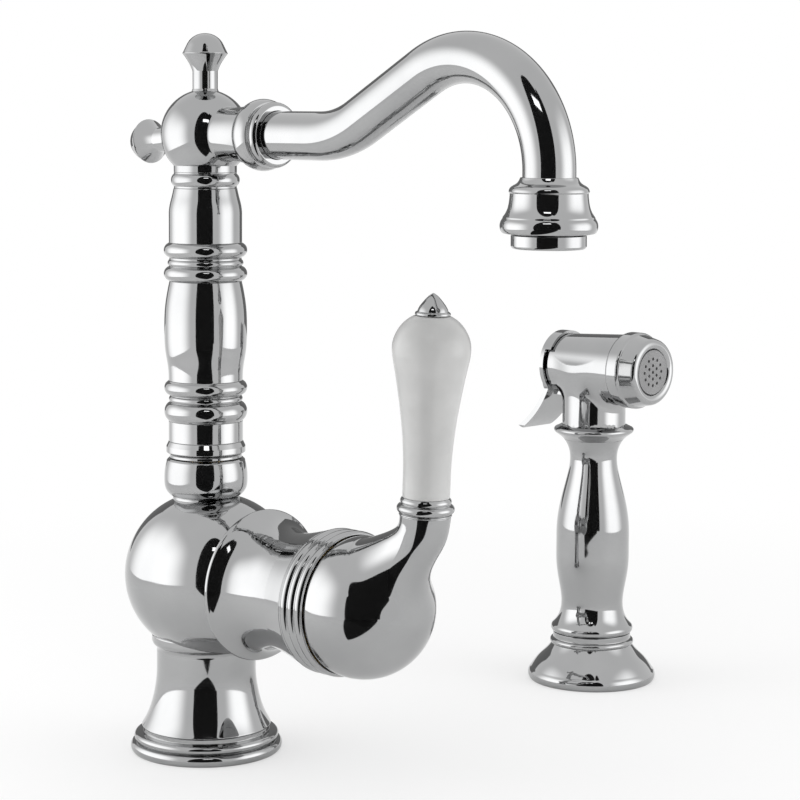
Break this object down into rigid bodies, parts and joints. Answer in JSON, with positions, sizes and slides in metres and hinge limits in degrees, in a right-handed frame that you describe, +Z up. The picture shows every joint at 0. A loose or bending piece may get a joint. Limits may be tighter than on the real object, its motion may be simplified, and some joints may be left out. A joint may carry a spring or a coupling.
{
  "type": "bar faucet",
  "caption": "Chrome bar faucet with a turned column, swivelling swan-neck spout, ball-hub side lever with an upright porcelain grip, and a side spray standing in a deck holder.",
  "frame": {"origin": "mouth of the deck stud hole, where the column's axis meets the deck", "axes": "+Z up along the column, -Y to the front where the spout and lever point, +X towards the side spray"},
  "size_m": [0.2569, 0.2355, 0.2831],
  "materials": {
    "chrome": "polished chrome plate",
    "porcelain": "glazed white porcelain, opaque",
    "rubber": "black sealing rubber",
    "brass": "turned brass",
    "satin_steel": "satin stainless steel",
    "ceramic": "lapped ceramic, opaque",
    "cartridge_plastic": "moulded plastic",
    "grey_plastic": "moulded grey plastic"
  },
  "bodies": {
    "faucet_body": {"base_foot": "chrome", "base_gasket": "rubber", "valve_body": "chrome", "swivel_collar": "chrome", "diverter_sleeve": "brass", "cartridge_seal": "rubber", "cartridge_base": "cartridge_plastic", "fixed_disc": "ceramic", "cartridge_housing": "cartridge_plastic", "cartridge_nut": "brass", "cartridge_dome": "satin_steel", "trim_ring": "chrome", "spray_holder": "chrome", "holder_gasket": "rubber", "holder_bush": "grey_plastic"},
    "spout": {"riser_tube": "brass", "riser_seals": "rubber", "riser_clip": "satin_steel", "swivel_ring": "chrome", "lower_sleeve": "chrome", "lower_bead_ring": "chrome", "middle_sleeve": "chrome", "upper_bead_ring": "chrome", "upper_sleeve": "chrome", "crown_bead": "chrome", "crown_ball": "chrome", "top_finial": "chrome", "side_finial": "chrome", "spout_collar": "chrome", "spout_tube": "chrome", "spout_nozzle": "chrome", "aerator_housing": "chrome", "aerator_insert": "grey_plastic", "aerator_washer": "rubber"},
    "turret": {"cartridge_turret": "cartridge_plastic", "turret_pin": "satin_steel"},
    "discs": {"moving_disc": "ceramic", "disc_slider": "cartridge_plastic"},
    "lever": {"cartridge_stem": "brass", "lever_hub": "chrome", "lever_set_screw": "satin_steel", "lever_ferrule": "chrome", "lever_grip": "porcelain", "lever_rod": "brass", "lever_finial": "chrome"},
    "diverter": {"diverter_piston": "cartridge_plastic"},
    "spray": {"spray_handle": "chrome", "spray_flange": "chrome", "spray_head": "chrome", "spray_bezel": "chrome", "spray_face": "grey_plastic", "spray_face_seal": "rubber", "thumb_lever_pin": "satin_steel"},
    "thumb_lever": {"thumb_lever": "chrome"},
    "spray_valve": {"spray_valve_stem": "satin_steel"}
  },
  "joints": [
    {"name": "spout_swivel", "type": "hinge", "parent": "faucet_body", "child": "spout", "pos_m": [0, 0, 0.11], "axis": [0, 0, 1], "continuous": true},
    {"name": "temperature_turn", "type": "hinge", "parent": "faucet_body", "child": "turret", "pos_m": [0, -0.0896, 0.0706], "axis": [0, -1, 0], "range_deg": [-45, 45]},
    {"name": "flow_lift", "type": "hinge", "parent": "turret", "child": "lever", "pos_m": [0, -0.0896, 0.0706], "axis": [1, 0, 0], "range_deg": [0, 25]},
    {"name": "disc_slide", "type": "slide", "parent": "turret", "child": "discs", "axis": [0, 0, 1], "range_m": [0, 0.00508]},
    {"name": "diverter_rise", "type": "slide", "parent": "faucet_body", "child": "diverter", "axis": [0, 0, 1], "range_m": [0, 0.004]},
    {"name": "spray_lift", "type": "slide", "parent": "faucet_body", "child": "spray", "axis": [0, 0, 1], "range_m": [0, 0.15]},
    {"name": "thumb_press", "type": "hinge", "parent": "spray", "child": "thumb_lever", "pos_m": [0.1966, -0.0211, 0.13], "axis": [-1, 0, 0], "range_deg": [0, 12], "stiffness_Nm_per_rad": 0.15, "springref_deg": -5.73},
    {"name": "spray_valve_pull", "type": "slide", "parent": "spray", "child": "spray_valve", "axis": [0, 1, 0], "range_m": [0, 0.003]}
  ],
  "couplings": [
    {"joint": "disc_slide", "follows": "flow_lift", "m_per_rad": 0.01162},
    {"joint": "spray_valve_pull", "follows": "thumb_press", "m_per_rad": 0.01385}
  ]
}
